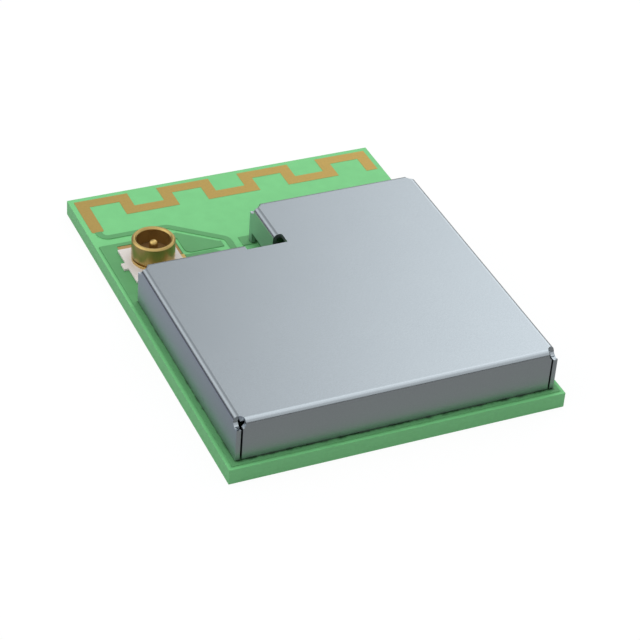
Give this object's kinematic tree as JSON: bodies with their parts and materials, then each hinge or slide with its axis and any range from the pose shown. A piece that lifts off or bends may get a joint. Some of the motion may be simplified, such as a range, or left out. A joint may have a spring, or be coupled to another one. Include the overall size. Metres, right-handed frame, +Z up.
{
  "type": "bluetooth radio module",
  "caption": "Surface-mount radio module: thin circuit board with a printed meander antenna, a miniature coaxial receptacle and a folded L-shaped shield can.",
  "frame": {"origin": "centre of the board's outline, level with the lower faces of the contact pads", "axes": "+Z up, out of the board's upper face; +Y along the board, from the shield can towards the antenna; +X across the board"},
  "size_m": [0.0154, 0.0208, 0.0028],
  "materials": {
    "laminate": "green-tinted glass-fibre laminate with a sawn edge",
    "solder_mask": "glossy green solder mask",
    "bare_copper": "bare plated copper, satin",
    "copper": "copper foil under the mask",
    "can_metal": "tinned steel sheet, satin",
    "solder": "solder, smooth and bright",
    "white_insulator": "white moulded polymer",
    "dark_bead": "dark brown moulded polymer",
    "gold_contact": "gold-plated brass",
    "black_moulding": "black moulded epoxy",
    "tinned_terminal": "tin-plated, satin",
    "ceramic_tray": "fired ceramic",
    "crystal_lid": "plated metal lid",
    "filter_ceramic": "fired white ceramic",
    "capacitor_ceramic": "fired tan ceramic",
    "resistor_coat": "black glass coat on ceramic",
    "ferrite": "grey ferrite"
  },
  "bodies": {
    "root": {"board_laminate": "laminate", "contact_pads": "bare_copper", "lower_solder_mask": "solder_mask", "upper_solder_mask": "solder_mask", "ground_copper": "copper", "meander_antenna": "bare_copper", "antenna_feed": "copper", "coax_line": "bare_copper", "component_lands": "bare_copper", "shield_can": "can_metal", "can_solder": "solder", "coax_insulator": "white_insulator", "coax_shell": "gold_contact", "coax_bead": "dark_bead", "coax_centre_contact": "gold_contact", "coax_solder": "solder", "radio_chip_body": "black_moulding", "radio_chip_leads": "tinned_terminal", "radio_chip_pad": "tinned_terminal", "flash_chip_body": "black_moulding", "flash_chip_leads": "tinned_terminal", "main_crystal_tray": "ceramic_tray", "main_crystal_lid": "crystal_lid", "clock_crystal_tray": "ceramic_tray", "clock_crystal_lid": "crystal_lid", "antenna_filter_body": "filter_ceramic", "antenna_filter_terminals": "tinned_terminal", "capacitor_bodies": "capacitor_ceramic", "capacitor_terminals": "tinned_terminal", "resistor_bodies": "resistor_coat", "resistor_terminals": "tinned_terminal", "rf_inductor_bodies": "filter_ceramic", "rf_inductor_terminals": "tinned_terminal", "power_inductor_bodies": "ferrite", "power_inductor_terminals": "tinned_terminal", "component_solder": "solder"}
  },
  "joints": []
}
